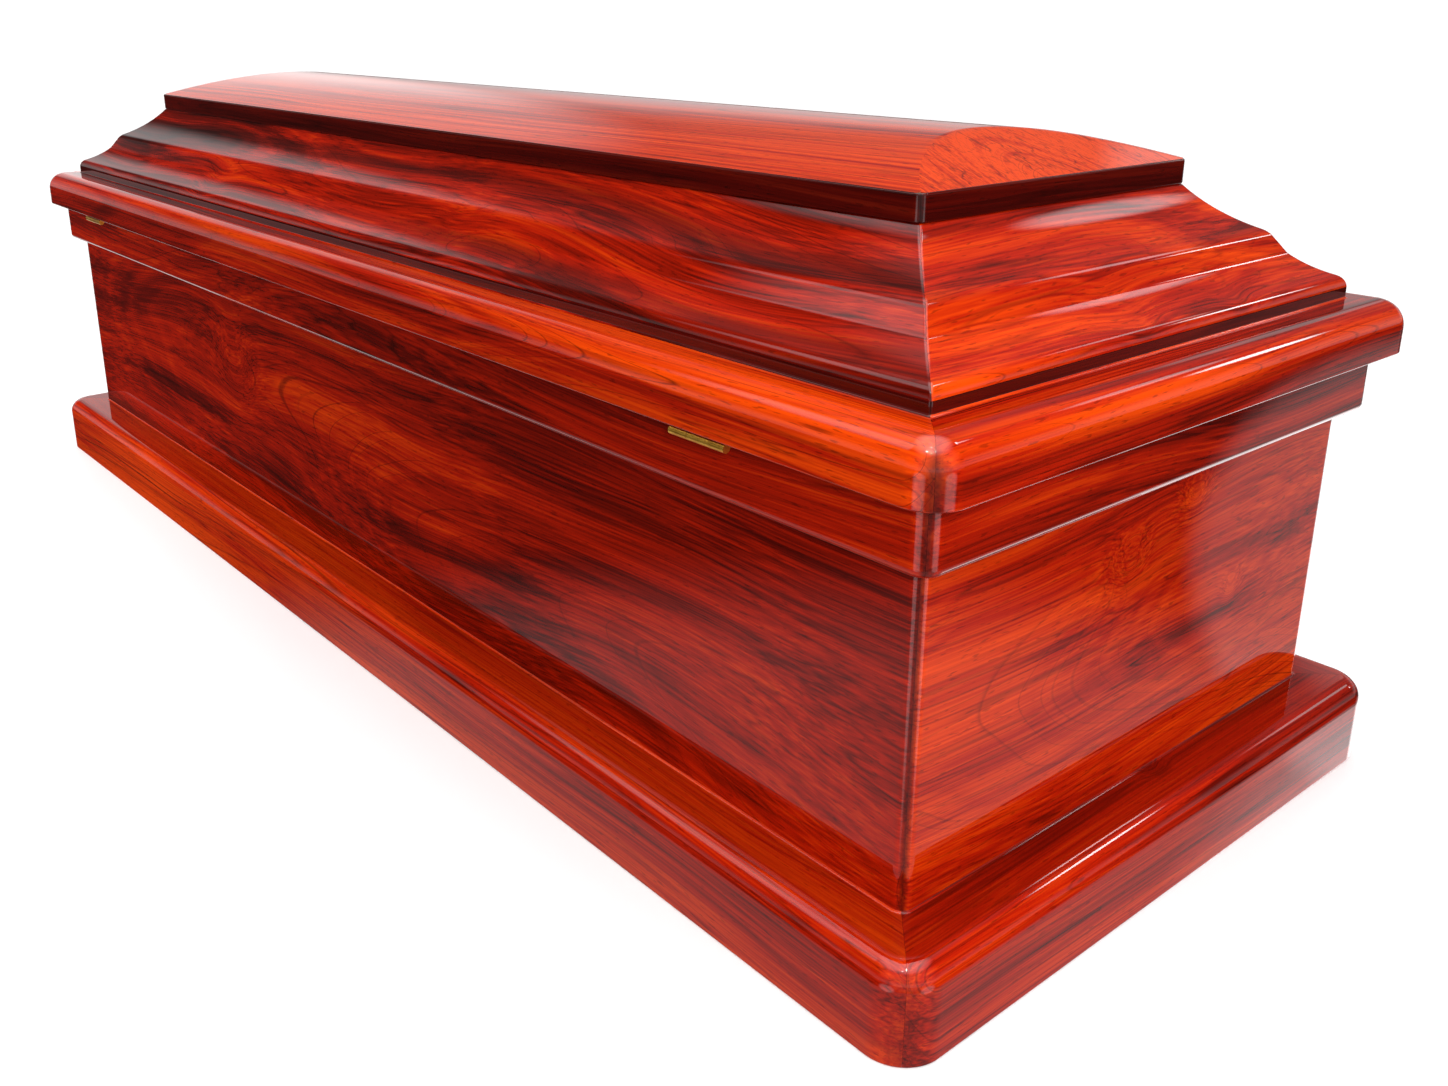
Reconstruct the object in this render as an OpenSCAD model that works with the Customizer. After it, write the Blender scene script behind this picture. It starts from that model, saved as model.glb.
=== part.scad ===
// Hinged wooden coffin: a rectangular case on a moulded plinth, and a lid made of a rim,
// a coved moulding, a frame and an arched crown with sloping ends.
// Millimetres, +Z up, origin at the middle of the underside, length along X.
// The hinges are on the -Y side, the head end is at +X and the foot end at -X.
// A profile point is [out, z]: out is measured outwards from the outer face of the case panels.

/* [Case] */
// Length over the outer faces of the end panels
case_l = 1980; // [1500:10:2400]
// Width over the outer faces of the long panels
case_w = 656; // [520:4:800]
// Height of the case, from the underside to the parting line
case_h = 461; // [380:1:560]
// Thickness of the case panels
wall = 22; // [18:1:30]
// Radius on the upright corners of the case
case_corner = 12; // [6:1:18]
// Thickness of the floor board
floor_t = 20; // [12:1:30]

/* [Plinth] */
// How far the plinth stands out from the case
plinth_out = 60; // [48:1:90]
// Height of the plinth
plinth_h = 91; // [60:1:130]
// Radius along the top edge of the plinth
plinth_round = 22; // [10:1:34]
// Radius on the upright corners of the plinth
plinth_corner = 42; // [36:1:46]
// Small radius along the bottom edge of the plinth
plinth_ease = 2; // [1:0.5:4]

/* [Band] */
// How far the band stands out from the case
band_out = 21; // [14:1:30]
// Height of the band
band_h = 63; // [40:1:90]
// Radius along the lower edge of the band
band_round = 8; // [4:1:12]
// Radius on the upright corners of the band
band_corner = 19; // [13:1:28]

/* [Lid rim] */
// How far the rim of the lid stands out from the case
rim_out = 44; // [36:1:60]
// Height of the rim
rim_h = 53; // [45:1:70]
// How far the rim reaches in from the outer face of the case
rim_in = 36; // [32:1:50]
// Radius along the top edge of the rim
rim_round = 27; // [14:1:30]
// Small radius along the bottom edge of the rim
rim_ease = 1.5; // [1:0.5:3]
// Radius on the upright corners of the rim
rim_corner = 32; // [31:1:38]

/* [Lid moulding] */
// How far the foot of the moulding is set in from the outer face of the case
foot_in = 6; // [2:1:10]
// Height of the upright step at the foot of the moulding
step_h = 10.5; // [8:0.5:16]
// Radius of the bead above the step
bead_r = 14; // [9:0.5:16]
// Run of the shallow hollow above the bead
hollow_run = 36; // [30:1:42]
// Rise of the shallow hollow
hollow_rise = 22; // [17:0.5:26]
// Depth of the shallow hollow below its chord
hollow_sag = 2; // [1:0.5:3]
// Run of the sloping neck above the hollow
neck_run = 12; // [8:0.5:15]
// Rise of the neck
neck_rise = 17.5; // [13:0.5:21]
// Radius of the shoulder above the neck
shoulder_r = 22; // [14:1:26]
// Run of the long cove above the shoulder
cove_run = 58; // [48:0.5:68]
// Rise of the long cove
cove_rise = 43.75; // [36:0.25:52]
// Depth of the long cove below its chord
cove_sag = 4; // [2:0.5:6]
// Thickness of the moulding boards where they meet the frame
moulding_t = 18; // [14:1:24]

/* [Crown] */
// Height of the frame under the crown
frame_h = 25; // [18:1:34]
// How far the frame stands out past the top of the cove
frame_over = 2; // [1:0.5:6]
// Width of the frame boards
frame_w = 50; // [46:1:64]
// Small radius along the outer edges of the frame
frame_ease = 2; // [1:0.5:3]
// Radius on the upright corners of the frame
frame_corner = 9; // [6:1:14]
// Rise of the arched crown above its frame
crown_rise = 35; // [30:1:46]
// Run of each sloping end of the crown
crown_run = 100; // [80:1:120]
// Thickness of the crown boards
crown_t = 13; // [9:0.5:14]

/* [Hinges] */
// Distance of each hinge from the middle of the coffin
hinge_x = 780; // [400:5:860]
// Length of a hinge
hinge_l = 70; // [55:1:100]
// Outer radius of the knuckles
knuckle_r = 4; // [3.8:0.1:4.6]
// Radius of the hinge pin
pin_r = 2; // [1.5:0.1:2.2]
// Thickness of the hinge leaves
leaf_t = 2; // [1.5:0.1:2]
// How far the leaves stop short of the inside of the case
leaf_margin = 4; // [3:0.5:8]

/* [Clearances] */
// Gap between the case and the closed lid
parting_gap = 0.4; // [0.3:0.1:0.8]
// Radial play of the pin in the lid's knuckle
pin_play = 0.05; // [0.03:0.01:0.08]
// Gap between hinge parts that pass each other
hinge_gap = 0.4; // [0.3:0.1:0.5]

/* [Hidden] */

side_colour = "#a52512";
plinth_colour = "#b83218";
lid_colour = "#b02a12";
frame_colour = "#5a0d06";
crown_colour = "#cf4a30";
brass_colour = "#d9a441";

$fn = 48;
arc_n = 12;             // straight steps in an arc of a profile
crown_n = 40;           // straight steps in the arch of the crown
mitre_reach = 200;      // how far the mitre cuts reach in and out
eps = 1;                // how far a cut runs past what it cuts

rim_z = case_h + parting_gap;
foot_z = rim_z + rim_h;

// The moulding from its foot up: step, bead, shallow hollow, neck, shoulder, long cove
bead_turn = 65;
shoulder_from = 38;
shoulder_turn = 66;
bead_c = [-foot_in - bead_r, foot_z + step_h];
bead_end = snapped(bead_c + bead_r * [cos(bead_turn), sin(bead_turn)]);
hollow_end = bead_end + [-hollow_run, hollow_rise];
neck_end = hollow_end + [-neck_run, neck_rise];
shoulder_c = neck_end - shoulder_r * [cos(shoulder_from), sin(shoulder_from)];
shoulder_end = snapped(shoulder_c + shoulder_r * [cos(shoulder_turn), sin(shoulder_turn)]);
cove_end = shoulder_end + [-cove_run, cove_rise];
moulding_foot_w = 28;   // width of the foot of a moulding board

// The frame and the crown
frame_z = cove_end[1];
frame_out = cove_end[0] + frame_over;
crown_z = frame_z + frame_h;
crown_half_w = case_w / 2 + frame_out - frame_ease;
crown_half_l = case_l / 2 + frame_out - frame_ease;
crown_r = (pow(crown_half_w, 2) + pow(crown_rise, 2)) / (2 * crown_rise);
crown_c_z = crown_z + crown_rise - crown_r;
crown_turn = asin(crown_half_w / crown_r);
crown_in_r = crown_r - crown_t;
crown_in_turn = acos((crown_z - crown_c_z) / crown_in_r);
crown_slope = atan2(crown_rise, crown_run);

// The hinges
axis_y = -(case_w / 2 + rim_out - knuckle_r);
axis_z = rim_z - knuckle_r - hinge_gap;
leaf_reach = rim_out - knuckle_r + wall - leaf_margin;
case_leaf_z = rim_z - 2 * leaf_t - hinge_gap;
lid_leaf_z = rim_z - leaf_t;
knuckle_l = hinge_l / 3;

// A point to the nearest hundredth, so that a board's stretch and its corners meet exactly
function snapped(p) = [for (v = p) round(100 * v) / 100];

// Points along an arc about c, from angle a0 to angle a1
function arc(c, r, a0, a1, n = arc_n, first = 0) =
    [for (i = [first:n]) let (a = a0 + (a1 - a0) * i / n) c + r * [cos(a), sin(a)]];

// Points along a hollow arc that climbs inwards from p, left out, to q and lies sag below its chord
function hollow(p, q, sag) =
    let (
        chord = norm(q - p),
        r = (pow(chord / 2, 2) + sag * sag) / (2 * sag),
        up = [q[1] - p[1], p[0] - q[0]] / chord,
        c = (p + q) / 2 + up * (r - sag),
        half = asin(chord / (2 * r)),
        mid = atan2(-up[1], -up[0])
    )
    arc(c, r, mid + half, mid - half, arc_n, 1);

// ---- Profiles ----

panel_profile = [[-wall, 0], [0, 0], [0, case_h], [-wall, case_h]];

plinth_profile = concat(
    [[-case_corner, 0]],
    arc([plinth_out - plinth_ease, plinth_ease], plinth_ease, -90, 0, 4),
    arc([plinth_out - plinth_round, plinth_h - plinth_round], plinth_round, 0, 90),
    [[-case_corner, plinth_h]]
);

band_profile = concat(
    [[-case_corner, case_h - band_h]],
    arc([band_out - band_round, case_h - band_h + band_round], band_round, -90, 0),
    [[band_out, case_h], [-case_corner, case_h]]
);

rim_profile = concat(
    [[-rim_in, rim_z]],
    arc([rim_out - rim_ease, rim_z + rim_ease], rim_ease, -90, 0, 4),
    arc([rim_out - rim_round, foot_z - rim_round], rim_round, 0, 90),
    [[-rim_in, foot_z]]
);

moulding_profile = concat(
    [[-foot_in, foot_z]],
    arc(bead_c, bead_r, 0, bead_turn),
    hollow(bead_end, hollow_end, hollow_sag),
    arc(shoulder_c, shoulder_r, shoulder_from, shoulder_turn),
    hollow(shoulder_end, cove_end, cove_sag),
    [[cove_end[0] - moulding_t, frame_z], [-foot_in - moulding_foot_w, foot_z]]
);

frame_profile = concat(
    [[frame_out - frame_w, frame_z]],
    arc([frame_out - frame_ease, frame_z + frame_ease], frame_ease, -90, 0, 4),
    arc([frame_out - frame_ease, crown_z - frame_ease], frame_ease, 0, 90, 4),
    [[frame_out - frame_w, crown_z]]
);

// ---- Boards ----

// One board of a four-sided moulding on the -Y side, with its share of both rounded corners.
// It runs along X, out to the mitres. half_l and half_d are half the case along and across it.
// A corner radius of 0 leaves the mitres sharp.
module board(profile, half_l, half_d, corner_r) {
    out = max([for (p = profile) p[0]]);
    corner_out = out - corner_r;
    stretch = half_l + corner_out;
    low = min([for (p = profile) p[1]]);
    high = max([for (p = profile) p[1]]);
    intersection() {
        rotate([90, 0, 90])
            linear_extrude(height = 2 * stretch, center = true)
                polygon([for (p = profile) [-(half_d + p[0]), p[1]]]);
        translate([0, 0, low - eps])
            linear_extrude(height = high - low + 2 * eps)
                polygon([
                    [-(half_l + mitre_reach), -(half_d + mitre_reach)],
                    [half_l + mitre_reach, -(half_d + mitre_reach)],
                    [half_l - mitre_reach, -(half_d - mitre_reach)],
                    [-(half_l - mitre_reach), -(half_d - mitre_reach)]
                ]);
    }
    if (corner_r > 0) for (end = [-1, 1])
        translate([end * stretch, -(half_d + corner_out), 0])
            rotate([0, 0, end > 0 ? -90 : -135])
                rotate_extrude(angle = 45)
                    intersection() {
                        polygon([for (p = profile) [p[0] - corner_out, p[1]]]);
                        translate([0, low - eps])
                            square([corner_r + eps, high - low + 2 * eps]);
                    }
}

// A rectangle about the origin with rounded corners
module outline(half_l, half_w, r) {
    square([2 * half_l, 2 * (half_w - r)], center = true);
    square([2 * (half_l - r), 2 * half_w], center = true);
    for (x = [-1, 1], y = [-1, 1]) translate([x * (half_l - r), y * (half_w - r)]) circle(r = r);
}

// The space that the case panels close in, which the plinth and the band fit around
module case_block() {
    translate([0, 0, -eps])
        linear_extrude(height = case_h + 2 * eps) outline(case_l / 2, case_w / 2, case_corner);
}

module long_board(profile, corner_r = 0) {
    board(profile, case_l / 2, case_w / 2, corner_r);
}

module end_board(profile, corner_r = 0) {
    rotate([0, 0, 90]) board(profile, case_w / 2, case_l / 2, corner_r);
}

// The recesses in the top of the case that the hinge leaves lie in
module leaf_recesses() {
    depth = case_h - case_leaf_z;
    for (x = [-hinge_x, hinge_x])
        translate([
            x - hinge_l / 2 - hinge_gap,
            axis_y,
            case_h - depth
        ])
            cube([hinge_l + 2 * hinge_gap, leaf_reach + hinge_gap, depth + eps]);
}

// ---- Case ----

module floor_board() {
    color(side_colour)
        translate([-case_l / 2 + wall, -case_w / 2 + wall, 0])
            cube([case_l - 2 * wall, case_w - 2 * wall, floor_t]);
}

module panel_hinge_side() {
    color(side_colour) difference() {
        long_board(panel_profile, case_corner);
        leaf_recesses();
    }
}

module panel_back() {
    color(side_colour) rotate([0, 0, 180]) long_board(panel_profile, case_corner);
}

module panel_head_end() {
    color(side_colour) end_board(panel_profile, case_corner);
}

module panel_foot_end() {
    color(side_colour) rotate([0, 0, 180]) end_board(panel_profile, case_corner);
}

module plinth_long() {
    color(plinth_colour) difference() {
        long_board(plinth_profile, plinth_corner);
        case_block();
    }
}

module plinth_end() {
    color(plinth_colour) difference() {
        end_board(plinth_profile, plinth_corner);
        case_block();
    }
}

module plinth_hinge_side() {
    plinth_long();
}

module plinth_back() {
    rotate([0, 0, 180]) plinth_long();
}

module plinth_head_end() {
    plinth_end();
}

module plinth_foot_end() {
    rotate([0, 0, 180]) plinth_end();
}

module band_long() {
    color(side_colour) difference() {
        long_board(band_profile, band_corner);
        case_block();
    }
}

module band_end() {
    color(side_colour) difference() {
        end_board(band_profile, band_corner);
        case_block();
    }
}

module band_hinge_side() {
    color(side_colour) difference() {
        band_long();
        leaf_recesses();
    }
}

module band_back() {
    rotate([0, 0, 180]) band_long();
}

module band_head_end() {
    band_end();
}

module band_foot_end() {
    rotate([0, 0, 180]) band_end();
}

// ---- Lid ----

module rim_hinge_side() {
    color(lid_colour) long_board(rim_profile, rim_corner);
}

module rim_back() {
    color(lid_colour) rotate([0, 0, 180]) long_board(rim_profile, rim_corner);
}

module rim_head_end() {
    color(lid_colour) end_board(rim_profile, rim_corner);
}

module rim_foot_end() {
    color(lid_colour) rotate([0, 0, 180]) end_board(rim_profile, rim_corner);
}

module moulding_hinge_side() {
    color(lid_colour) long_board(moulding_profile);
}

module moulding_back() {
    color(lid_colour) rotate([0, 0, 180]) long_board(moulding_profile);
}

module moulding_head_end() {
    color(lid_colour) end_board(moulding_profile);
}

module moulding_foot_end() {
    color(lid_colour) rotate([0, 0, 180]) end_board(moulding_profile);
}

module frame_hinge_side() {
    color(frame_colour) long_board(frame_profile, frame_corner);
}

module frame_back() {
    color(frame_colour) rotate([0, 0, 180]) long_board(frame_profile, frame_corner);
}

module frame_head_end() {
    color(frame_colour) end_board(frame_profile, frame_corner);
}

module frame_foot_end() {
    color(frame_colour) rotate([0, 0, 180]) end_board(frame_profile, frame_corner);
}

// The hip line seen from above: where the sloping end meets the arch, from side to side
function hip_line() =
    [for (i = [0:crown_n])
        let (a = -crown_turn + 2 * crown_turn * i / crown_n,
             rise = crown_r * cos(a) - (crown_r - crown_rise))
        [crown_half_l - crown_run * rise / crown_rise, crown_r * sin(a)]];

// The outline of the crown seen from above, with its rounded corners
module crown_outline() {
    translate([0, 0, crown_z - eps])
        linear_extrude(height = crown_rise + 2 * eps)
            outline(crown_half_l, crown_half_w, frame_corner - frame_ease);
}

module crown_board() {
    hip = hip_line();
    color(crown_colour) intersection() {
        rotate([90, 0, 90])
            linear_extrude(height = 2 * crown_half_l, center = true)
                polygon(concat(
                    arc([0, crown_c_z], crown_r, 90 - crown_turn, 90 + crown_turn, crown_n),
                    arc([0, crown_c_z], crown_in_r, 90 + crown_in_turn, 90 - crown_in_turn, crown_n)
                ));
        translate([0, 0, crown_z - eps])
            linear_extrude(height = crown_rise + 2 * eps)
                polygon(concat(hip, [for (i = [crown_n:-1:0]) [-hip[i][0], hip[i][1]]]));
        crown_outline();
    }
}

// One sloping end of the crown, at the +X end
module crown_end() {
    foot = crown_t / sin(crown_slope);
    intersection() {
        rotate([90, 0, 0])
            linear_extrude(height = 2 * crown_half_w, center = true)
                polygon([
                    [crown_half_l, crown_z],
                    [crown_half_l - crown_run, crown_z + crown_rise],
                    [crown_half_l - crown_run - eps, crown_z + crown_rise],
                    [crown_half_l - crown_run - eps, crown_z + crown_rise - crown_t / cos(crown_slope)],
                    [crown_half_l - foot, crown_z]
                ]);
        translate([0, 0, crown_z - eps])
            linear_extrude(height = crown_rise + 2 * eps)
                polygon(hip_line());
        crown_outline();
    }
}

module crown_head_end() {
    color(crown_colour) crown_end();
}

module crown_foot_end() {
    color(crown_colour) rotate([0, 0, 180]) crown_end();
}

// ---- Hinges, each drawn about its own middle on the pin's axis ----

module knuckle(x0, x1, bore_r) {
    translate([x0, 0, 0]) rotate([0, 90, 0]) difference() {
        cylinder(r = knuckle_r, h = x1 - x0);
        translate([0, 0, -eps]) cylinder(r = bore_r, h = x1 - x0 + 2 * eps);
    }
}

// A leaf from the pin's axis inwards, cut back where the other leaf's knuckle turns.
// spans lists the stretches along X that reach the pin, bottom is its height above the pin.
module leaf(spans, bottom, bore_r) {
    setback = knuckle_r + hinge_gap;
    difference() {
        union() {
            translate([-hinge_l / 2, setback, bottom])
                cube([hinge_l, leaf_reach - setback, leaf_t]);
            for (s = spans)
                translate([s[0], 0, bottom]) cube([s[1] - s[0], setback, leaf_t]);
        }
        rotate([0, 90, 0]) cylinder(r = pin_r + hinge_gap, h = hinge_l + 2 * eps, center = true);
    }
    for (s = spans) knuckle(s[0], s[1], bore_r);
}

module case_leaf() {
    inner = knuckle_l / 2 + hinge_gap;
    leaf(
        [[-hinge_l / 2, -inner], [inner, hinge_l / 2]],
        case_leaf_z - axis_z, pin_r
    );
}

module lid_leaf() {
    leaf([[-knuckle_l / 2, knuckle_l / 2]], lid_leaf_z - axis_z, pin_r + pin_play);
}

module hinge_pin() {
    rotate([0, 90, 0]) cylinder(r = pin_r, h = hinge_l, center = true);
}

module at_hinge(x) {
    translate([x, axis_y, axis_z]) children();
}

module hinge_head_case_leaf() {
    color(brass_colour) at_hinge(hinge_x) case_leaf();
}

module hinge_head_lid_leaf() {
    color(brass_colour) at_hinge(hinge_x) lid_leaf();
}

module hinge_head_pin() {
    color(brass_colour) at_hinge(hinge_x) hinge_pin();
}

module hinge_foot_case_leaf() {
    color(brass_colour) at_hinge(-hinge_x) case_leaf();
}

module hinge_foot_lid_leaf() {
    color(brass_colour) at_hinge(-hinge_x) lid_leaf();
}

module hinge_foot_pin() {
    color(brass_colour) at_hinge(-hinge_x) hinge_pin();
}

floor_board();
panel_hinge_side();
panel_back();
panel_head_end();
panel_foot_end();
plinth_hinge_side();
plinth_back();
plinth_head_end();
plinth_foot_end();
band_hinge_side();
band_back();
band_head_end();
band_foot_end();
rim_hinge_side();
rim_back();
rim_head_end();
rim_foot_end();
moulding_hinge_side();
moulding_back();
moulding_head_end();
moulding_foot_end();
frame_hinge_side();
frame_back();
frame_head_end();
frame_foot_end();
crown_board();
crown_head_end();
crown_foot_end();
hinge_head_case_leaf();
hinge_head_lid_leaf();
hinge_head_pin();
hinge_foot_case_leaf();
hinge_foot_lid_leaf();
hinge_foot_pin();
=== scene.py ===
"""A hinged rosewood coffin under clear lacquer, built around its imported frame. Lengths are in metres."""

import math

import bpy
from mathutils import Matrix, Vector


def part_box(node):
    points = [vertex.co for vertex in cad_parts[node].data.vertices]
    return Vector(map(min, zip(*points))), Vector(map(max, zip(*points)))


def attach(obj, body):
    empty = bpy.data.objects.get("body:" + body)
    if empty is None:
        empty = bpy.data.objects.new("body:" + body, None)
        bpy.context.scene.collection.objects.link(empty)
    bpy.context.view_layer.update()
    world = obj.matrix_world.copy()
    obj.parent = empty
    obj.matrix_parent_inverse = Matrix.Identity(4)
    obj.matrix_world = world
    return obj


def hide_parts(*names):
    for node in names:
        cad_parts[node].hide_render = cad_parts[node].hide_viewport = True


bl_info = {
    "name": "Lacquered Rosewood Coffin",
    "version": (1, 0, 0),
    "blender": (4, 5, 0),
    "location": "3D View > Sidebar > Coffin",
    "description": "Makes the boards, finishes and studio of a hinged rosewood coffin",
    "category": "Object",
}

MM = 0.001
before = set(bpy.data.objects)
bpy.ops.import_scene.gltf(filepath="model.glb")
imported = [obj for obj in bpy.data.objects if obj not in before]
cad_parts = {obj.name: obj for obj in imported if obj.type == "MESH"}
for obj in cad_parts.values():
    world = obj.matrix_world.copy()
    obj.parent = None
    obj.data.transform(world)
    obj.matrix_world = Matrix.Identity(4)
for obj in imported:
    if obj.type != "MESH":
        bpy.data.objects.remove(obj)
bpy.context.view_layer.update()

# The four boards of a mitred ring, each with its turn about Z from the hinge side
SIDES = {"hinge_side": 0, "head_end": 90, "back": 180, "foot_end": 270}
LONG_SIDES = ("hinge_side", "back")

# Half the case's length and width, and its height
HALF_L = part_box("panel_head_end")[1].x
HALF_W = -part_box("panel_hinge_side")[0].y
CASE_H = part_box("panel_hinge_side")[1].z
# The bottom of the recesses for the hinge leaves, whose knuckles hang 4 mm lower, and the room at their ends
RECESS_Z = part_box("hinge_head_case_leaf")[0].z + 4 * MM
LEAF_ROOM = 0.4 * MM

# Degrees that the moulding's bead turns through, and those that its shoulder turns from and to
BEAD_TURN = 65
SHOULDER_FROM, SHOULDER_TURN = 38, 66
# How far each side of the crown's hips the wood is softened, and steps across its arch and round a corner
HIP_SOFT = 7 * MM
ARCH_STEPS, CORNER_STEPS = 30, 6


def ring_sizes(group):
    """How far out a ring's boards reach, how far in, and their lowest and highest points."""
    low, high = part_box(group + "_hinge_side")
    return -low.y - HALF_W, -high.y - HALF_W, low.z, high.z


# ---- Sizes and colours that a user would change ----


def linear(text):
    """A hex sRGB colour as linear red, green, blue and alpha."""
    parts = [int(text[i:i + 2], 16) / 255 for i in (1, 3, 5)]
    return (*[c / 12.92 if c <= 0.04045 else ((c + 0.055) / 1.055) ** 2.4 for c in parts], 1.0)


def length(name, description, default):
    """A length property."""
    return bpy.props.FloatProperty(
        name=name, description=description, default=default, min=0, unit="LENGTH", precision=4
    )


def colour(name, description, default):
    """A colour property, given as sRGB hex."""
    return bpy.props.FloatVectorProperty(
        name=name, description=description, default=linear(default), size=4, subtype="COLOR", min=0, max=1
    )


class CoffinSizes(bpy.types.PropertyGroup):
    """Radii and mouldings that the frame's boxes don't give"""

    case_corner: length("Case corner", "Radius on the upright corners of the case", 12 * MM)
    plinth_corner: length("Plinth corner", "Radius on the upright corners of the plinth", 42 * MM)
    plinth_round: length("Plinth round", "Radius along the top edge of the plinth", 22 * MM)
    band_corner: length("Band corner", "Radius on the upright corners of the band", 19 * MM)
    band_round: length("Band round", "Radius along the lower edge of the band", 8 * MM)
    rim_corner: length("Rim corner", "Radius on the upright corners of the rim", 32 * MM)
    rim_round: length("Rim round", "Radius along the top edge of the rim", 27 * MM)
    frame_corner: length("Frame corner", "Radius on the upright corners of the frame", 9 * MM)
    moulding_corner: length("Moulding corner", "Softening of the moulding's mitred corners", 3 * MM)
    step_h: length("Step", "Height of the upright step at the foot of the moulding", 10.5 * MM)
    bead_r: length("Bead", "Radius of the bead above the step", 14 * MM)
    hollow_run: length("Hollow run", "Run of the shallow hollow above the bead", 36 * MM)
    hollow_rise: length("Hollow rise", "Rise of the shallow hollow", 22 * MM)
    hollow_sag: length("Hollow depth", "Depth of the shallow hollow below its chord", 2 * MM)
    neck_run: length("Neck run", "Run of the sloping neck above the hollow", 12 * MM)
    neck_rise: length("Neck rise", "Rise of the neck", 17.5 * MM)
    shoulder_r: length("Shoulder", "Radius of the shoulder above the neck", 22 * MM)
    cove_run: length("Cove run", "Run of the long cove above the shoulder", 58 * MM)
    cove_rise: length("Cove rise", "Rise of the long cove", 43.75 * MM)
    cove_sag: length("Cove depth", "Depth of the long cove below its chord", 4 * MM)
    moulding_foot: length("Moulding foot", "Width of the foot of a moulding board", 28 * MM)
    moulding_top: length("Moulding top", "Thickness of the moulding boards at the frame", 18 * MM)
    crown_run: length("Crown slope", "Run of each sloping end of the crown", 100 * MM)
    crown_t: length("Crown boards", "Thickness of the crown boards", 13 * MM)
    lacquer_fillet: length("Lacquer fillet", "Radius of the lacquer that gathers where two boards meet", 2.2 * MM)
    arris: length("Arris", "Radius that sanding and lacquer leave on a sharp edge", 1.2 * MM)
    joint: length("Mitre joint", "Half the open line at a mitre", 0.12 * MM)


class CoffinColours(bpy.types.PropertyGroup):
    """Colours of the wood, the hinges and the studio"""

    wood_dark: colour("Heart streaks", "Darkest streaks of the stained rosewood", "#2a0502")
    wood_deep: colour("Deep red", "Deep red of the stained rosewood", "#6a0c03")
    wood_red: colour("Red", "Main red of the stained rosewood", "#b41c04")
    wood_light: colour("Orange", "Light orange-red of the stained rosewood", "#ee4806")
    # The dark band's tones also paint the shade on the moulding's upright step
    dark_deep: colour("Dark band, deep", "Darkest tone of the dark band", "#1e0201")
    dark_red: colour("Dark band", "Main tone of the dark band", "#520803")
    dark_light: colour("Dark band, light", "Lightest tone of the dark band", "#7c1c0a")
    pore: colour("Pores", "Stain held in the pores", "#1c0402")
    plain_wood: colour("Sealed wood", "Sealed wood inside the case", "#9a5a34")
    brass: colour("Brass", "Polished brass of the hinges", "#fcc250")
    floor: colour("Floor", "Studio floor and backdrop", "#fbfbfb")


def sizes():
    """The sizes as they are set in the panel."""
    return bpy.context.scene.coffin_sizes


def colours():
    """The colours as they are set in the panel."""
    return bpy.context.scene.coffin_colours


# ---- Profiles: points [out, z], anticlockwise, with out measured outwards from the case ----


def arc(centre, r, start, end, steps=14):
    """Points along an arc, from one angle to another in degrees."""
    turns = [math.radians(start + (end - start) * i / steps) for i in range(steps + 1)]
    return [(centre[0] + r * math.cos(t), centre[1] + r * math.sin(t)) for t in turns]


def hollow(p, q, sag, steps=16):
    """Points after p along a hollow arc that climbs inwards to q and lies sag below its chord."""
    (px, pz), (qx, qz) = p, q
    chord = math.hypot(qx - px, qz - pz)
    r = ((chord / 2) ** 2 + sag * sag) / (2 * sag)
    up = ((qz - pz) / chord, (px - qx) / chord)
    centre = ((px + qx) / 2 + up[0] * (r - sag), (pz + qz) / 2 + up[1] * (r - sag))
    half = math.degrees(math.asin(chord / (2 * r)))
    middle = math.degrees(math.atan2(-up[1], -up[0]))
    return arc(centre, r, middle + half, middle - half, steps)[1:]


def eased(profile, radius, sharp=24, steps=4):
    """The profile with each corner that turns by more than sharp degrees rounded, outer and inner ones alike."""
    made = []
    for i, b in enumerate(profile):
        a, c = Vector(profile[i - 1]), Vector(profile[(i + 1) % len(profile)])
        b = Vector(b)
        before, after = (a - b), (c - b)
        turn = math.pi - before.angle(after)
        if math.degrees(turn) < sharp:
            made.append(tuple(b))
            continue
        reach = min(radius * math.tan(turn / 2), 0.45 * before.length, 0.45 * after.length)
        start = b + before.normalized() * reach
        centre = b + (before.normalized() + after.normalized()).normalized() * (reach / math.sin(turn / 2))
        spoke = start - centre
        left = 1 if before.cross(after) < 0 else -1
        for k in range(steps + 1):
            t = left * turn * k / steps
            made.append((centre.x + spoke.x * math.cos(t) - spoke.y * math.sin(t),
                         centre.y + spoke.x * math.sin(t) + spoke.y * math.cos(t)))
    return made


# ---- Meshes ----


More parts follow.
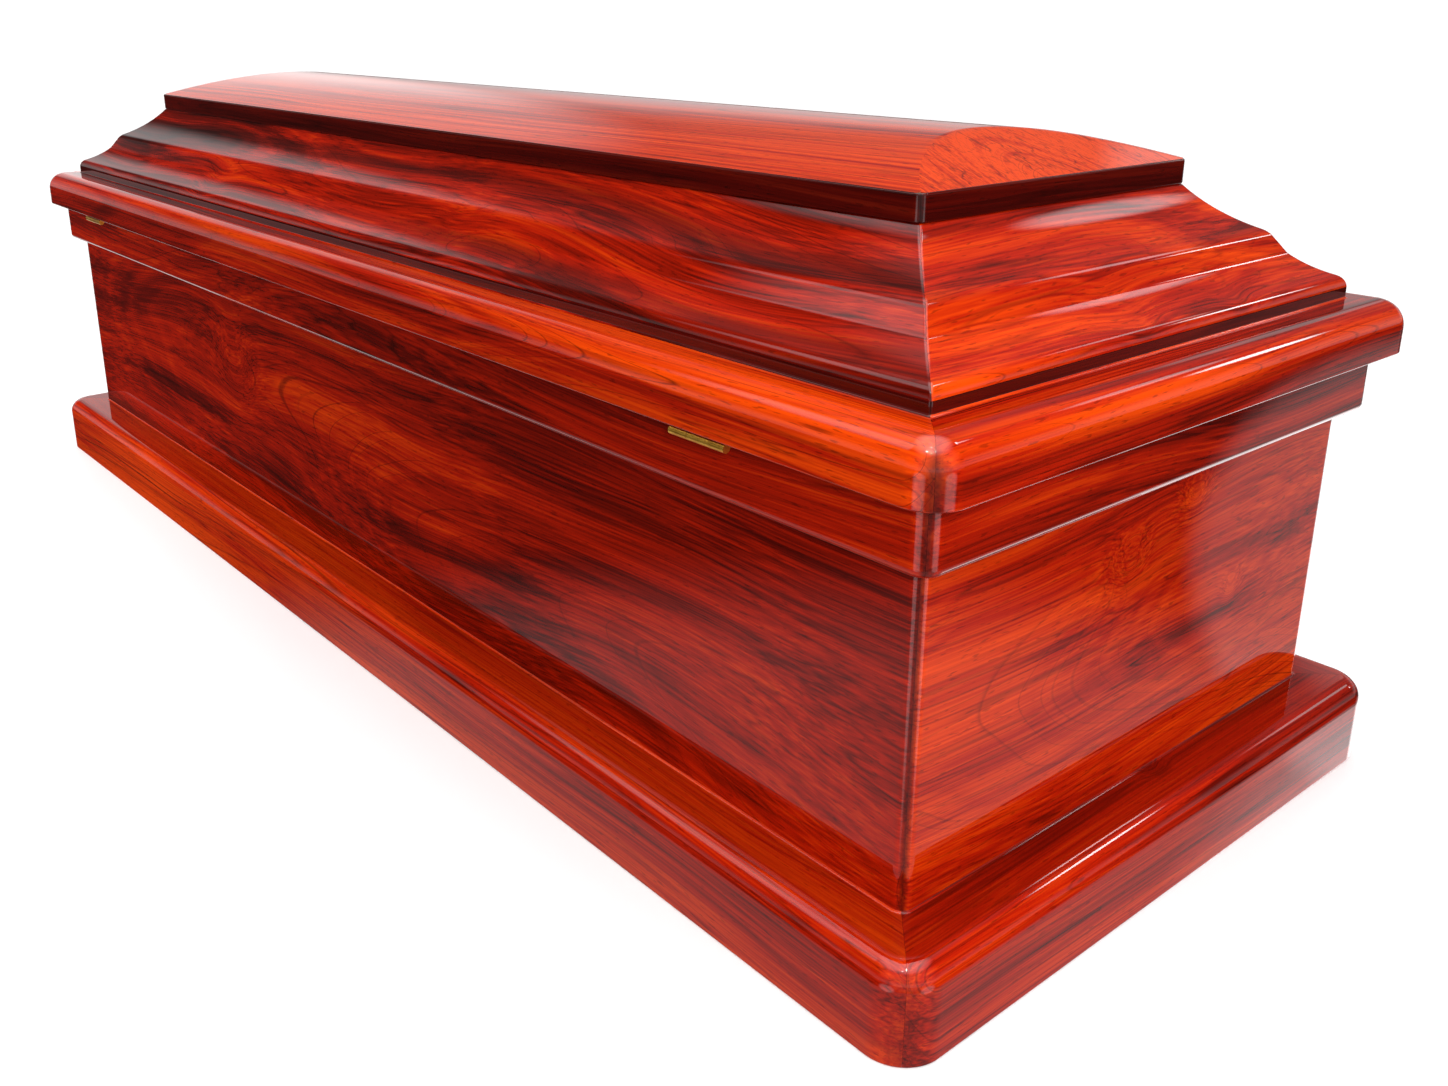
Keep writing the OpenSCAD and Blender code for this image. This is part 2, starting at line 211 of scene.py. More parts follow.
class Shell:
    """The faces of one closed piece, with the normal that each corner is shaded by."""

    def __init__(self):
        self.points, self.faces, self.normals, self.slots = {}, [], [], []

    def face(self, corners, normals=None, slot=0):
        """Adds a face. Corners that fall together are joined, and a face left with no area is dropped."""
        named = [(self.points.setdefault(tuple(round(x, 6) for x in p), len(self.points)), i)
                 for i, p in enumerate(corners)]
        kept = [(v, i) for k, (v, i) in enumerate(named) if v != named[k - 1][0]]
        if len({v for v, _ in kept}) < 3:
            return
        if normals is None:
            flat = Vector((0, 0, 0))
            around = [Vector(corners[i]) for _, i in kept]
            for k, p in enumerate(around):
                flat += around[k - 1].cross(p)
            normals = [flat.normalized()] * len(corners)
        self.faces.append([v for v, _ in kept])
        self.normals.extend(Vector(normals[i]).normalized() for _, i in kept)
        self.slots.append(slot)

    def build(self, name, materials):
        """Makes the piece, shaded by the corners' own normals."""
        mesh = bpy.data.meshes.new(name)
        mesh.from_pydata(list(self.points), [], self.faces)
        for m in materials:
            mesh.materials.append(m)
        mesh.polygons.foreach_set("material_index", self.slots)
        mesh.polygons.foreach_set("use_smooth", [True] * len(self.faces))
        if mesh.validate(verbose=False):
            raise RuntimeError(f"{name}: its mesh has faces that can't stand")
        mesh.normals_split_custom_set([tuple(n) for n in self.normals])
        mesh.update()
        piece = bpy.data.objects.new(name, mesh)
        bpy.context.scene.collection.objects.link(piece)
        return piece


def corner_normals(profile, sharp=30):
    """For each step of the profile, the normals at its two ends: shared where the profile is smooth."""
    n = len(profile)
    steps = [Vector(profile[(i + 1) % n]) - Vector(profile[i]) for i in range(n)]
    flat = [Vector((s.y, -s.x)).normalized() for s in steps]
    at = []
    for i in range(n):
        if flat[i - 1].angle(flat[i]) < math.radians(sharp):
            shared = (flat[i - 1] * steps[i - 1].length + flat[i] * steps[i].length).normalized()
            at.append((shared, shared))
        else:
            at.append((flat[i - 1], flat[i]))
    return [(at[i][1], at[(i + 1) % n][0], flat[i]) for i in range(n)]


def ring_board(name, side, profile, corner_r, inner_r, materials, sealed=None, notch=None, steps=10):
    """One mitred board of a ring, with its share of both rounded corners, as a closed mesh.
    Corners keep the centre of corner_r until their radius is down to inner_r. sealed gives a face's
    material slot from its normal and its height. notch is (spans along the board, profile there)."""
    turn = Matrix.Rotation(math.radians(SIDES[side]), 4, "Z")
    long = side in LONG_SIDES
    half_l, half_d = (HALF_L, HALF_W) if long else (HALF_W, HALF_L)
    out = max(p[0] for p in profile)
    gap = sizes().joint
    corner = [math.radians(45) * i / steps for i in range(steps + 1)]

    def at(point, end, angle):
        o, z = point
        r = max(corner_r - (out - o), inner_r)
        u = half_l + o - r + r * math.sin(angle)
        v = half_d + o - r + r * math.cos(angle)
        u -= gap if angle == corner[-1] else 0
        return turn @ Vector((end * u, -v, z))

    def lean(normal, point, end, angle):
        concentric = corner_r - (out - point[0]) >= inner_r
        spread = 1 if concentric else math.sin(angle) + math.cos(angle)
        tilt = Vector((end * normal.x * math.sin(angle), -normal.x * math.cos(angle), normal.y * spread))
        return (turn @ tilt).normalized()

    stations = [(-1, a, None, profile) for a in reversed(corner)]
    if notch:
        spans, cut = notch
        for low, high in spans:
            stations += [(1, 0, low, profile), (1, 0, low, cut), (1, 0, high, cut), (1, 0, high, profile)]
    stations += [(1, a, None, profile) for a in corner]

    rings, leans = [], []
    for end, angle, place, section in stations:
        ring = [at(p, end, angle) for p in section]
        if place is not None:
            ring = [turn @ Vector((place, -(half_d + p[0]), p[1])) for p in section]
        rings.append(ring)
        ends = section[1:] + section[:1]
        leans.append([(lean(a, p, end, angle), lean(b, q, end, angle), f)
                      for p, q, (a, b, f) in zip(section, ends, corner_normals(section))])
    shell, n = Shell(), len(profile)
    shell.face(rings[0])
    for i in range(len(rings) - 1):
        here, there = rings[i], rings[i + 1]
        wall = stations[i][2] is not None and stations[i][2] == stations[i + 1][2]
        for k in range(n):
            m = (k + 1) % n
            slot = int(sealed(leans[i][k][2], stations[i][3][k][1])) if sealed else 0
            normals = None if wall else (leans[i][k][0], leans[i + 1][k][0], leans[i + 1][k][1], leans[i][k][1])
            shell.face((here[k], there[k], there[m], here[m]), normals, slot)
    shell.face(list(reversed(rings[-1])))
    return shell.build(name, materials)


def finish_piece(piece, body, slot, *nodes):
    """Joins a piece to its body and hides the nodes of the frame that it stands for."""
    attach(piece, body)
    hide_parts(*nodes)


def ring(group, label, body, profile, corner_r, inner_r, finish, sealed=None, notch=None):
    """The four boards of one ring. notch is cut in the hinge side only."""
    for i, side in enumerate(SIDES):
        # The seed picks the board's place in the tree
        seed = i + len(label) * 3
        materials = [rosewood(f"{finish} - {label} {side}", side, seed, finish), sealed_rosewood(side)]
        # On the moulding a third material paints shade: dark rosewood for its upright step, where shade falls
        # under the bead
        if finish == "Moulding rosewood":
            materials.append(rosewood(f"Dark rosewood - {label} {side}", side, i + 2, "Dark rosewood"))
        cut = notch if side == "hinge_side" else None
        board = ring_board(f"{label}_{side}", side, profile, corner_r, inner_r, materials, sealed, cut)
        finish_piece(board, body, FINISHES[finish]["slot"], f"{group}_{side}")


# ---- Materials ----


def add(tree, kind, inputs=None, stops=(), **settings):
    """Adds a node, sets its properties, fills or links its inputs and lays out a ramp's (place, colour) stops."""
    made = tree.nodes.new(kind)
    for key, value in settings.items():
        setattr(made, key, value)
    for key, value in (inputs or {}).items():
        if isinstance(value, bpy.types.NodeSocket):
            tree.links.new(value, made.inputs[key])
        else:
            made.inputs[key].default_value = value
    for i, (place, value) in enumerate(stops):
        elements = made.color_ramp.elements
        element = elements[i] if i < len(elements) else elements.new(place)
        element.position, element.color = place, value
    return made


def start_material(name):
    """A new material with an empty tree, its principled shader and its output."""
    material = bpy.data.materials.new(name)
    material.use_nodes = True
    tree = material.node_tree
    tree.nodes.clear()
    shader = add(tree, "ShaderNodeBsdfPrincipled")
    add(tree, "ShaderNodeOutputMaterial", {"Surface": shader.outputs["BSDF"]})
    return material, tree, shader


# How each run of boards was picked. tone moves it towards orange. streaks, rings and heart are the
# strength of its colour streaks, growth rings and dark heart bands. sway is how wavy its grain is, and
# ring the width of a growth ring in mm. pith is where the tree's middle ran, in mm behind the face and
# up, and how far it drifts for each mm along.
FINISHES = {
    "Side rosewood": {"slot": "rosewood", "tone": 0.0, "streaks": 0.4, "rings": 0.25, "heart": 0.08,
                      "sway": 1.0, "ring": 11, "pith": (210, 230, 0.10)},
    "Plinth rosewood": {"slot": "rosewood", "tone": 0.01, "streaks": 0.45, "rings": 0.3, "heart": 0.1,
                        "sway": 0.4, "ring": 11, "pith": (260, -90, 0.02)},
    "Rim rosewood": {"slot": "rosewood", "tone": 0.04, "streaks": 0.7, "rings": 0.35, "heart": 0.3,
                     "sway": 0.3, "ring": 9, "pith": (320, 380, 0.05)},
    "Moulding rosewood": {"slot": "rosewood", "tone": 0.0, "streaks": 0.55, "rings": 0.4, "heart": 0.6,
                          "sway": 1.0, "ring": 11, "pith": (140, 430, 0.05)},
    "Crown rosewood": {"slot": "rosewood", "tone": 0.14, "streaks": 0.3, "rings": 0.8, "heart": 0.0,
                       "sway": 0.25, "ring": 6, "pith": (308, 592, 0.0)},
    # Dark rosewood also paints the shade on the moulding's upright step
    "Dark rosewood": {"slot": "rosewood_dark", "tone": 0.0, "streaks": 0.6, "rings": 0.3, "heart": 0.2,
                      "sway": 0.4, "ring": 11, "pith": (200, 500, 0.02)},
}

# Knots near the faces of some boards: mm along and up, how wide, and how far they push the grain
KNOTS = {
    "Side rosewood - panel head_end": ((-40, 330, 26, 18), (60, 372, 22, 16), (150, 250, 16, 9)),
    "Side rosewood - panel hinge_side": ((-330, 300, 60, 26),),
    "Moulding rosewood - moulding_board hinge_side": ((250, 600, 40, 40), (-420, 590, 50, 30)),
    "Moulding rosewood - moulding_board head_end": ((-40, 590, 40, 34), (120, 560, 26, 16)),
    "Plinth rosewood - plinth_board head_end": ((30, 80, 18, 12),),
}

# Boards picked lighter or darker than the rest of their run
TONES = {
    "Side rosewood - panel head_end": 0.1,
    "Side rosewood - panel hinge_side": -0.03,
    "Side rosewood - band_board hinge_side": 0.02,
    "Side rosewood - band_board head_end": -0.05,
    "Rim rosewood - rim_board head_end": 0.02,
    "Moulding rosewood - moulding_board head_end": 0.08,
    "Moulding rosewood - moulding_board hinge_side": -0.06,
    "Plinth rosewood - plinth_board head_end": -0.01,
    "Plinth rosewood - plinth_board hinge_side": 0.08,
    "Crown rosewood - crown head_end": 0.09,
}


def grain_places(tree, side):
    """Object coordinates in millimetres with x along the grain."""
    place = add(tree, "ShaderNodeTexCoord").outputs["Object"]
    along = 0 if side in LONG_SIDES else math.radians(-90)
    return add(tree, "ShaderNodeMapping", {
        "Vector": place, "Rotation": (0, 0, along), "Scale": (1000, 1000, 1000),
    }).outputs["Vector"]


def stretched(tree, vector, along, across, **settings):
    """Noise whose lumps are so many millimetres long along the grain and across it."""
    scaled = add(tree, "ShaderNodeMapping", {
        "Vector": vector, "Scale": (1 / along, 1 / across, 1 / across),
    }).outputs["Vector"]
    return add(tree, "ShaderNodeTexNoise", {"Vector": scaled, "Scale": 1, **settings}).outputs


def swayed(tree, vector, noise, reach):
    """The vector moved across the grain by noise, by up to half of reach in millimetres each way."""
    centred = add(tree, "ShaderNodeVectorMath", {0: noise, 1: (0.5, 0.5, 0.5)}, operation="SUBTRACT").outputs[0]
    return add(tree, "ShaderNodeVectorMath", {
        0: centred, 1: (0, reach, reach), 2: vector,
    }, operation="MULTIPLY_ADD").outputs[0]


def lifted_by_knots(tree, board, knots, face):
    """The board's places, with the grain lifted into a round swelling about each knot."""
    lift = 0.0
    for along, up, width, reach in knots:
        near = add(tree, "ShaderNodeVectorMath", {0: board, 1: (along, face, up)}, operation="DISTANCE")
        near = near.outputs["Value"]
        squared = add(tree, "ShaderNodeMath", {0: near, 1: near}, operation="MULTIPLY").outputs[0]
        scaled = add(tree, "ShaderNodeMath", {0: squared, 1: -1 / width ** 2}, operation="MULTIPLY").outputs[0]
        swell = add(tree, "ShaderNodeMath", {0: scaled}, operation="EXPONENT").outputs[0]
        lift = add(tree, "ShaderNodeMath", {0: swell, 1: reach, 2: lift}, operation="MULTIPLY_ADD").outputs[0]
    pushed = add(tree, "ShaderNodeCombineXYZ", {"Y": lift, "Z": lift}).outputs[0]
    return add(tree, "ShaderNodeVectorMath", {0: board, 1: pushed}).outputs[0]


def growth_rings(tree, trunk, look, outwards, face):
    """Noise over the distance from the tree's pith, in rings as wide as the finish says."""
    depth, pith_z, drift = look["pith"]
    x, y, z = add(tree, "ShaderNodeSeparateXYZ", {0: trunk}).outputs
    off = []
    for part, pith in ((y, outwards * (face - depth)), (z, pith_z)):
        drifted = add(tree, "ShaderNodeMath", {0: x, 1: drift, 2: part}, operation="MULTIPLY_ADD").outputs[0]
        off.append(add(tree, "ShaderNodeMath", {0: drifted, 1: pith}, operation="SUBTRACT").outputs[0])
    away = add(tree, "ShaderNodeCombineXYZ", {"X": off[0], "Y": off[1]}).outputs[0]
    away = add(tree, "ShaderNodeVectorMath", {0: away}, operation="LENGTH").outputs["Value"]
    return add(tree, "ShaderNodeTexNoise", {
        "W": away, "Scale": 1 / look["ring"], "Detail": 2, "Roughness": 0.6,
    }, noise_dimensions="1D").outputs["Fac"]


def thin_line(tree, value, level, width, strength):
    """How strongly a line shows where a value passes a level: full on it, and not at all width away."""
    off = add(tree, "ShaderNodeMath", {0: value, 1: level}, operation="SUBTRACT").outputs[0]
    off = add(tree, "ShaderNodeMath", {0: off}, operation="ABSOLUTE").outputs[0]
    return add(tree, "ShaderNodeMapRange", {
        "Value": off, "From Min": 0.0, "From Max": width, "To Min": strength, "To Max": 0.0,
    }).outputs[0]


def lacquer(tree, shader, place, strand):
    """Clear polyester lacquer over the wood: a hard coat that mirrors the room and hides the wood's own sheen."""
    relief = add(tree, "ShaderNodeBump", {"Height": strand, "Strength": 0.06, "Distance": 0.4 * MM}).outputs[0]
    # Hand-rubbed lacquer is flat to a few hundredths of a millimetre over a hand's width
    ripple = add(tree, "ShaderNodeTexNoise", {"Vector": place, "Scale": 1 / 70, "Detail": 1}).outputs["Fac"]
    rubbed = add(tree, "ShaderNodeBump", {"Height": ripple, "Strength": 0.1, "Distance": 0.6 * MM}).outputs[0]
    tree.links.new(relief, shader.inputs["Normal"])
    tree.links.new(rubbed, shader.inputs["Coat Normal"])
    for key, value in (("Roughness", 0.45), ("Specular IOR Level", 0.0), ("Coat Weight", 1.0),
                       ("Coat Roughness", 0.02), ("Coat IOR", 1.49)):
        shader.inputs[key].default_value = value


def rosewood(name, side, seed, finish):
    """Rosewood, stained red and flooded with clear polyester lacquer: deep streaked colour seen
    through a glass-like coat, growth lines, and pores that show as short dark dashes."""
    look, tint = FINISHES[finish], colours()
    material, tree, shader = start_material(name)
    outwards = -1 if side in ("hinge_side", "head_end") else 1
    face = (HALF_W if side in LONG_SIDES else HALF_L) / MM
    board = lifted_by_knots(tree, grain_places(tree, side), KNOTS.get(name, ()), outwards * face)
    # Each board is cut from its own place in the tree
    place = add(tree, "ShaderNodeVectorMath", {
        0: board, 1: (seed * 733.0 % 2900, seed * 217.0 % 900, seed * 131.0 % 700),
    }).outputs[0]

    # Slow bends of the grain over most of a metre, and a tighter curl
    bend = stretched(tree, place, 800, 330, Detail=1)["Color"]
    curl = stretched(tree, place, 420, 130, Detail=1)["Color"]
    sway = look["sway"]
    fibre = swayed(tree, swayed(tree, place, bend, 110 * sway), curl, 15 * sway)
    trunk = swayed(tree, swayed(tree, board, bend, 110 * sway), curl, 26 * sway)

    rings = growth_rings(tree, trunk, look, outwards, face)
    streak = stretched(tree, fibre, 1400, 30, Detail=3, Roughness=0.55)["Fac"]
    cloud = stretched(tree, fibre, 900, 170, Detail=1)["Fac"]
    strand = stretched(tree, fibre, 240, 2.4, Detail=1)["Fac"]
    latewood = stretched(tree, fibre, 650, 11, Detail=1)["Fac"]
    dash = stretched(tree, fibre, 14, 1.5, Detail=0)["Fac"]
    band = stretched(tree, fibre, 1700, 46, Detail=4, Roughness=0.55)["Fac"]

    # Each part is taken about its middle, 0.5
    tone = 0.5 + look["tone"] + TONES.get(name, 0.0)
    for part, share in ((rings, look["rings"] * 0.5), (streak, look["streaks"]), (cloud, 0.35), (strand, 0.28)):
        part = add(tree, "ShaderNodeMath", {0: part, 1: 0.5}, operation="SUBTRACT").outputs[0]
        tone = add(tree, "ShaderNodeMath", {0: part, 1: share, 2: tone}, operation="MULTIPLY_ADD").outputs[0]
    stops = [(0.26, tint.wood_dark), (0.4, tint.wood_deep), (0.53, tint.wood_red), (0.72, tint.wood_light)]
    if finish == "Dark rosewood":
        stops = [(0.3, tint.dark_deep), (0.55, tint.dark_red), (0.8, tint.dark_light)]
    dark = stops[0][1]
    wood = add(tree, "ShaderNodeValToRGB", {"Fac": tone}, stops).outputs["Color"]

    # Ragged dark bands of heartwood
    heart = add(tree, "ShaderNodeMath", {0: strand, 1: 0.12, 2: band}, operation="MULTIPLY_ADD").outputs[0]
    heart = add(tree, "ShaderNodeMapRange", {
        "Value": heart, "From Min": 0.585, "From Max": 0.72, "To Min": 0.0, "To Max": look["heart"],
    }).outputs[0]
    # A growth line is about a millimetre wide, and fine latewood lines run with the fibres. Both come and go
    shown = add(tree, "ShaderNodeMath", {0: cloud, 1: 1.7, 2: -0.5}, operation="MULTIPLY_ADD").outputs[0]
    line = thin_line(tree, rings, 0.54, 0.016, shown)
    shown = add(tree, "ShaderNodeMath", {0: streak, 1: -1.6, 2: 1.2}, operation="MULTIPLY_ADD").outputs[0]
    fine = thin_line(tree, latewood, 0.5, 0.035, shown)
    # Pores are under a millimetre wide and drawn at 1.5 mm, the least that shows
    pores = add(tree, "ShaderNodeMapRange", {
        "Value": dash, "From Min": 0.68, "From Max": 0.78, "To Min": 0.0, "To Max": 0.4,
    }).outputs[0]
    # Rounded corners cut across the fibres, and end grain drinks more of the stain
    outward = add(tree, "ShaderNodeTexCoord").outputs["Normal"]
    along = (1, 0, 0) if side in LONG_SIDES else (0, 1, 0)
    endwise = add(tree, "ShaderNodeVectorMath", {0: outward, 1: along}, operation="DOT_PRODUCT").outputs["Value"]
    endwise = add(tree, "ShaderNodeMath", {0: endwise}, operation="ABSOLUTE").outputs[0]
    stained = add(tree, "ShaderNodeMapRange", {
        "Value": endwise, "From Min": 0.35, "From Max": 0.65,
        "To Min": 0.0, "To Max": 0.3 if finish == "Plinth rosewood" else 0.75,
    }).outputs[0]
    layers = [(heart, dark), (line, dark), (fine, dark), (pores, tint.pore), (stained, dark)]
    if finish == "Plinth rosewood":
        # Painted shade: the plinth's flat top is drawn deeper red than its round, for the shade that falls on it
        upward = add(tree, "ShaderNodeSeparateXYZ", {0: outward}).outputs[2]
        painted_top_shade = add(tree, "ShaderNodeMapRange", {
            "Value": upward, "From Min": 0.93, "From Max": 1.0, "To Min": 0.0, "To Max": 0.5,
        }).outputs[0]
        layers.append((painted_top_shade, tint.wood_deep))
    for amount, layer in layers:
        wood = add(tree, "ShaderNodeMix", {"Factor": amount, 6: wood, 7: layer}, data_type="RGBA").outputs[2]
    tree.links.new(wood, shader.inputs["Base Color"])
    lacquer(tree, shader, place, strand)
    return material


def sealed_colour(tree, side):
    """The colour of sealed wood, and the fine strands in it."""
    tint = colours()
    grain = grain_places(tree, side)
    streak = stretched(tree, grain, 420, 26, Detail=4)["Fac"]
    strand = stretched(tree, grain, 50, 2.0, Detail=2)["Fac"]
    tone = add(tree, "ShaderNodeMath", {0: strand, 1: 0.35, 2: streak}, operation="MULTIPLY_ADD").outputs[0]
    stops = [(0.45, tint.wood_deep), (0.72, tint.plain_wood), (0.9, linear("#b8784a"))]
    return add(tree, "ShaderNodeValToRGB", {"Fac": tone}, stops).outputs["Color"], strand


def sealed_rosewood(side):
    """Rosewood, planed and sealed with a thin satin coat: browner, open grain, a low even sheen."""
    name = f"Sealed rosewood {'long' if side in LONG_SIDES else 'end'} boards"
    found = bpy.data.materials.get(name)
    if found:
        return found
    material, tree, shader = start_material(name)
    wood, strand = sealed_colour(tree, side)
    tree.links.new(wood, shader.inputs["Base Color"])
    rough = add(tree, "ShaderNodeMapRange", {"Value": strand, "To Min": 0.42, "To Max": 0.62}).outputs[0]
    tree.links.new(rough, shader.inputs["Roughness"])
    relief = add(tree, "ShaderNodeBump", {"Height": strand, "Strength": 0.25, "Distance": 0.5 * MM}).outputs[0]
    tree.links.new(relief, shader.inputs["Normal"])
    return material


def panel_rosewood(side, seed):
    """The panels' own rosewood: lacquered outside, and sealed on the faces inside the case, which stay dull."""
    material = rosewood(f"Side rosewood - panel {side}", side, seed, "Side rosewood")
    tree = material.node_tree
    shader = tree.nodes["Principled BSDF"]
    lacquered = shader.inputs["Base Color"].links[0].from_socket
    sealed, _ = sealed_colour(tree, side)
    inward = {"hinge_side": (0, 1, 0), "back": (0, -1, 0), "head_end": (-1, 0, 0), "foot_end": (1, 0, 0)}[side]
    outward = add(tree, "ShaderNodeTexCoord").outputs["Normal"]
    facing = add(tree, "ShaderNodeVectorMath", {0: outward, 1: inward}, operation="DOT_PRODUCT").outputs["Value"]
    inside = add(tree, "ShaderNodeMath", {0: facing, 1: 0.5}, operation="GREATER_THAN").outputs[0]
    coated = add(tree, "ShaderNodeMath", {0: 1.0, 1: inside}, operation="SUBTRACT").outputs[0]
    wood = add(tree, "ShaderNodeMix", {"Factor": inside, 6: lacquered, 7: sealed}, data_type="RGBA").outputs[2]
    tree.links.new(wood, shader.inputs["Base Color"])
    tree.links.new(coated, shader.inputs["Coat Weight"])
    return material


def polished_brass():
    """Drawn brass, polished and left bare: warm yellow with fine wipe marks and slight tarnish."""
    material, tree, shader = start_material("Polished brass")
    place = add(tree, "ShaderNodeTexCoord").outputs["Object"]
    # Tarnish in patches of 11 mm, and wipe marks under a millimetre wide and 17 mm long
    stain = add(tree, "ShaderNodeTexNoise", {"Vector": place, "Scale": 90, "Detail": 4}).outputs["Fac"]
    wipe = add(tree, "ShaderNodeMapping", {"Vector": place, "Scale": (60, 1500, 1500)}).outputs["Vector"]
    wipe = add(tree, "ShaderNodeTexNoise", {"Vector": wipe, "Scale": 1, "Detail": 2}).outputs["Fac"]
    metal = add(tree, "ShaderNodeValToRGB", {"Fac": stain}, [(0.3, linear("#d08c30")), (0.6, colours().brass)])
    tree.links.new(metal.outputs["Color"], shader.inputs["Base Color"])
    rough = add(tree, "ShaderNodeMapRange", {"Value": wipe, "To Min": 0.3, "To Max": 0.46}).outputs[0]
    tree.links.new(rough, shader.inputs["Roughness"])
    shader.inputs["Metallic"].default_value = 1.0
    return material


def dress(node, material):
    """Gives a node of the frame its finish."""
    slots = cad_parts[node].data.materials
    slots.clear()
    slots.append(material)


# ---- Pieces ----


class COFFIN_OT_case(bpy.types.Operator):
    """Finish the four case panels and the floor board"""

    bl_idname = "coffin.case"
    bl_label = "Case"

    def execute(self, context):
        for i, side in enumerate(SIDES):
            dress(f"panel_{side}", panel_rosewood(side, i + 1))
        dress("floor_board", sealed_rosewood("hinge_side"))
        return {"FINISHED"}


class COFFIN_OT_plinth(bpy.types.Operator):
    """Make the plinth's four boards"""

    bl_idname = "coffin.plinth"
    bl_label = "Plinth"

    def execute(self, context):
        s = sizes()
        out, _, low, high = ring_sizes("plinth")
        r, fillet = s.plinth_round, s.lacquer_fillet
        profile = eased(
            [(0, low), (out, low)]
            + arc((out - r, high - r), r, 0, 90, 18)
            + arc((fillet, high + fillet), fillet, -90, -180, 5), 2 * MM)
        ring("plinth", "plinth_board", "case", profile, s.plinth_corner, s.case_corner, "Plinth rosewood")
        return {"FINISHED"}


def leaf_recesses():
    """Spans along the hinge side that the hinge leaves lie in."""
    boxes = [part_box(f"hinge_{end}_case_leaf") for end in ("foot", "head")]
    return [(low.x - LEAF_ROOM, high.x + LEAF_ROOM) for low, high in boxes]


class COFFIN_OT_band(bpy.types.Operator):
    """Make the band's four boards, with the hinge recesses in the hinge side"""

    bl_idname = "coffin.band"
    bl_label = "Band"

    def execute(self, context):
        s = sizes()
        out, _, low, high = ring_sizes("band")
        fillet, arris, r = s.lacquer_fillet, s.arris, s.band_round

        def profile(top):
            return (
                arc((fillet, low - fillet), fillet, 180, 90, 5)
                + arc((out - r, low + r), r, -90, 0, 12)
                + arc((out - arris, top - arris), arris, 0, 90, 4)
                + [(0, top)]
            )

        cut = (leaf_recesses(), profile(high - (CASE_H - RECESS_Z)))
        ring("band", "band_board", "case", profile(high), s.band_corner, s.case_corner, "Side rosewood", notch=cut)
        return {"FINISHED"}


class COFFIN_OT_rim(bpy.types.Operator):
    """Make the four boards of the lid's rim"""

    bl_idname = "coffin.rim"
    bl_label = "Lid rim"

    def execute(self, context):
        s = sizes()
        out, inside, low, high = ring_sizes("rim")
        profile = eased(
            [(inside, low), (out, low)]
            + arc((out - s.rim_round, high - s.rim_round), s.rim_round, 0, 90, 20)
            + [(inside, high)], 1.5 * MM)
        ring("rim", "rim_board", "lid", profile, s.rim_corner, 4 * MM, "Rim rosewood",
             sealed=lambda n, z: n.x < -0.5)
        return {"FINISHED"}


def moulding_line():
    """The lid moulding: how far out its foot is, its heights, its outer face from the foot up, and its top."""
    s = sizes()
    foot, _, low, high = ring_sizes("moulding")
    bead_c = (foot - s.bead_r, low + s.step_h)
    bead = arc(bead_c, s.bead_r, 0, BEAD_TURN, 14)
    hollow_end = (bead[-1][0] - s.hollow_run, bead[-1][1] + s.hollow_rise)
    neck_end = (hollow_end[0] - s.neck_run, hollow_end[1] + s.neck_rise)
    start = math.radians(SHOULDER_FROM)
    shoulder_c = (neck_end[0] - s.shoulder_r * math.cos(start), neck_end[1] - s.shoulder_r * math.sin(start))
    shoulder = arc(shoulder_c, s.shoulder_r, SHOULDER_FROM, SHOULDER_TURN, 10)
    cove_end = (shoulder[-1][0] - s.cove_run, shoulder[-1][1] + s.cove_rise)
    line = bead + hollow(bead[-1], hollow_end, s.hollow_sag, 14) + shoulder
    return foot, low, high, line + hollow(shoulder[-1], cove_end, s.cove_sag, 20), cove_end


class COFFIN_OT_moulding(bpy.types.Operator):
    """Make the four boards of the coved moulding on the lid"""

    bl_idname = "coffin.moulding"
    bl_label = "Lid moulding"

    def execute(self, context):
        s = sizes()
        foot, low, high, line, top = moulding_line()
        fillet, step_top = s.lacquer_fillet, low + s.step_h + 0.1 * MM
        profile = eased(
            arc((foot + fillet, low + fillet), fillet, -90, -180, 5) + line
            + [(top[0] - s.moulding_top, high), (foot - s.moulding_foot, low)], 4 * MM, steps=6)
        ring("moulding", "moulding_board", "lid", profile, s.moulding_corner, s.moulding_corner,
             "Moulding rosewood",
             # Sealed inside, and painted shade on the upright step: dark rosewood there stands in for the shade
             # under the bead
             sealed=lambda n, z: 1 if n.x < -0.3 else 2 if n.x > 0.97 and z < step_top else 0)
        return {"FINISHED"}


class COFFIN_OT_frame(bpy.types.Operator):
    """Make the four boards of the frame under the crown"""

    bl_idname = "coffin.frame"
    bl_label = "Lid frame"

    def execute(self, context):
        s = sizes()
        out, inside, low, high = ring_sizes("frame")
        profile = eased([(inside, low), (out, low), (out, high), (inside, high)], 2 * MM)
        ring("frame", "frame_board", "lid", profile, s.frame_corner, 2 * MM, "Dark rosewood",
             sealed=lambda n, z: n.x < -0.5)
        return {"FINISHED"}


